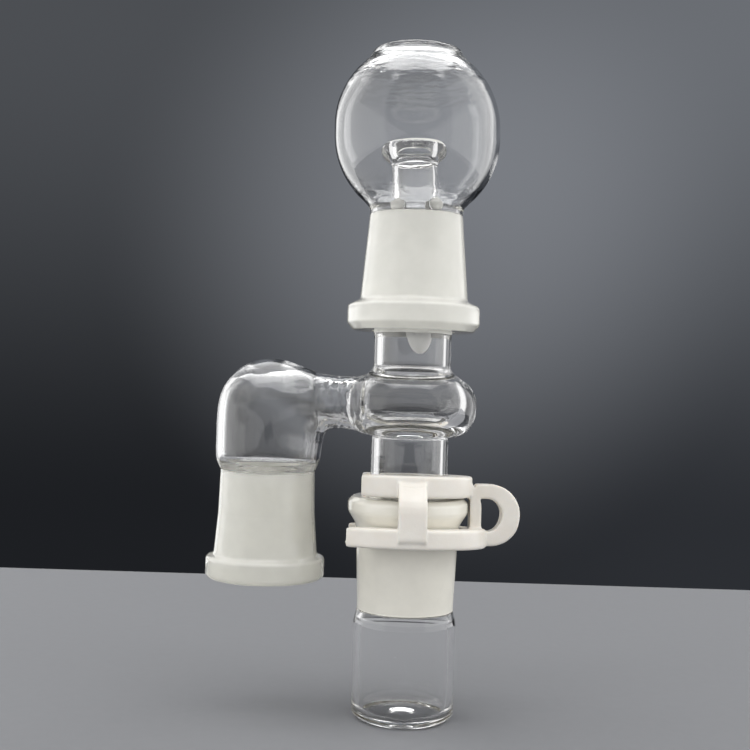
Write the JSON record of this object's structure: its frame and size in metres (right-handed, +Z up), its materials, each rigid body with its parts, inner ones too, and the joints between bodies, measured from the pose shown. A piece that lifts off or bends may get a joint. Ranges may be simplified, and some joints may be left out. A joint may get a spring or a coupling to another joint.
{
  "type": "receiver adapter",
  "caption": "Laboratory glass receiver adapter: bulged tube with a side socket on an elbow, clipped receiver cup below, globe dome with a dished nail above.",
  "frame": {"origin": "centre of the receiver cup's flat underside, on the axis of the cup, tube and dome", "axes": "+Z up along the main axis to the dome's mouth; the side arm and its downward socket lie along -X; the clip's finger loop points along +X"},
  "size_m": [0.0578, 0.0308, 0.1235],
  "materials": {
    "clear_glass": "fire-polished, ground on the cones and in the sockets",
    "clip_plastic": "moulded, satin"
  },
  "bodies": {
    "root": {"adapter_body": "clear_glass", "dome": "clear_glass", "nail": "clear_glass", "receiver_cup": "clear_glass", "joint_clip": "clip_plastic"}
  },
  "joints": []
}
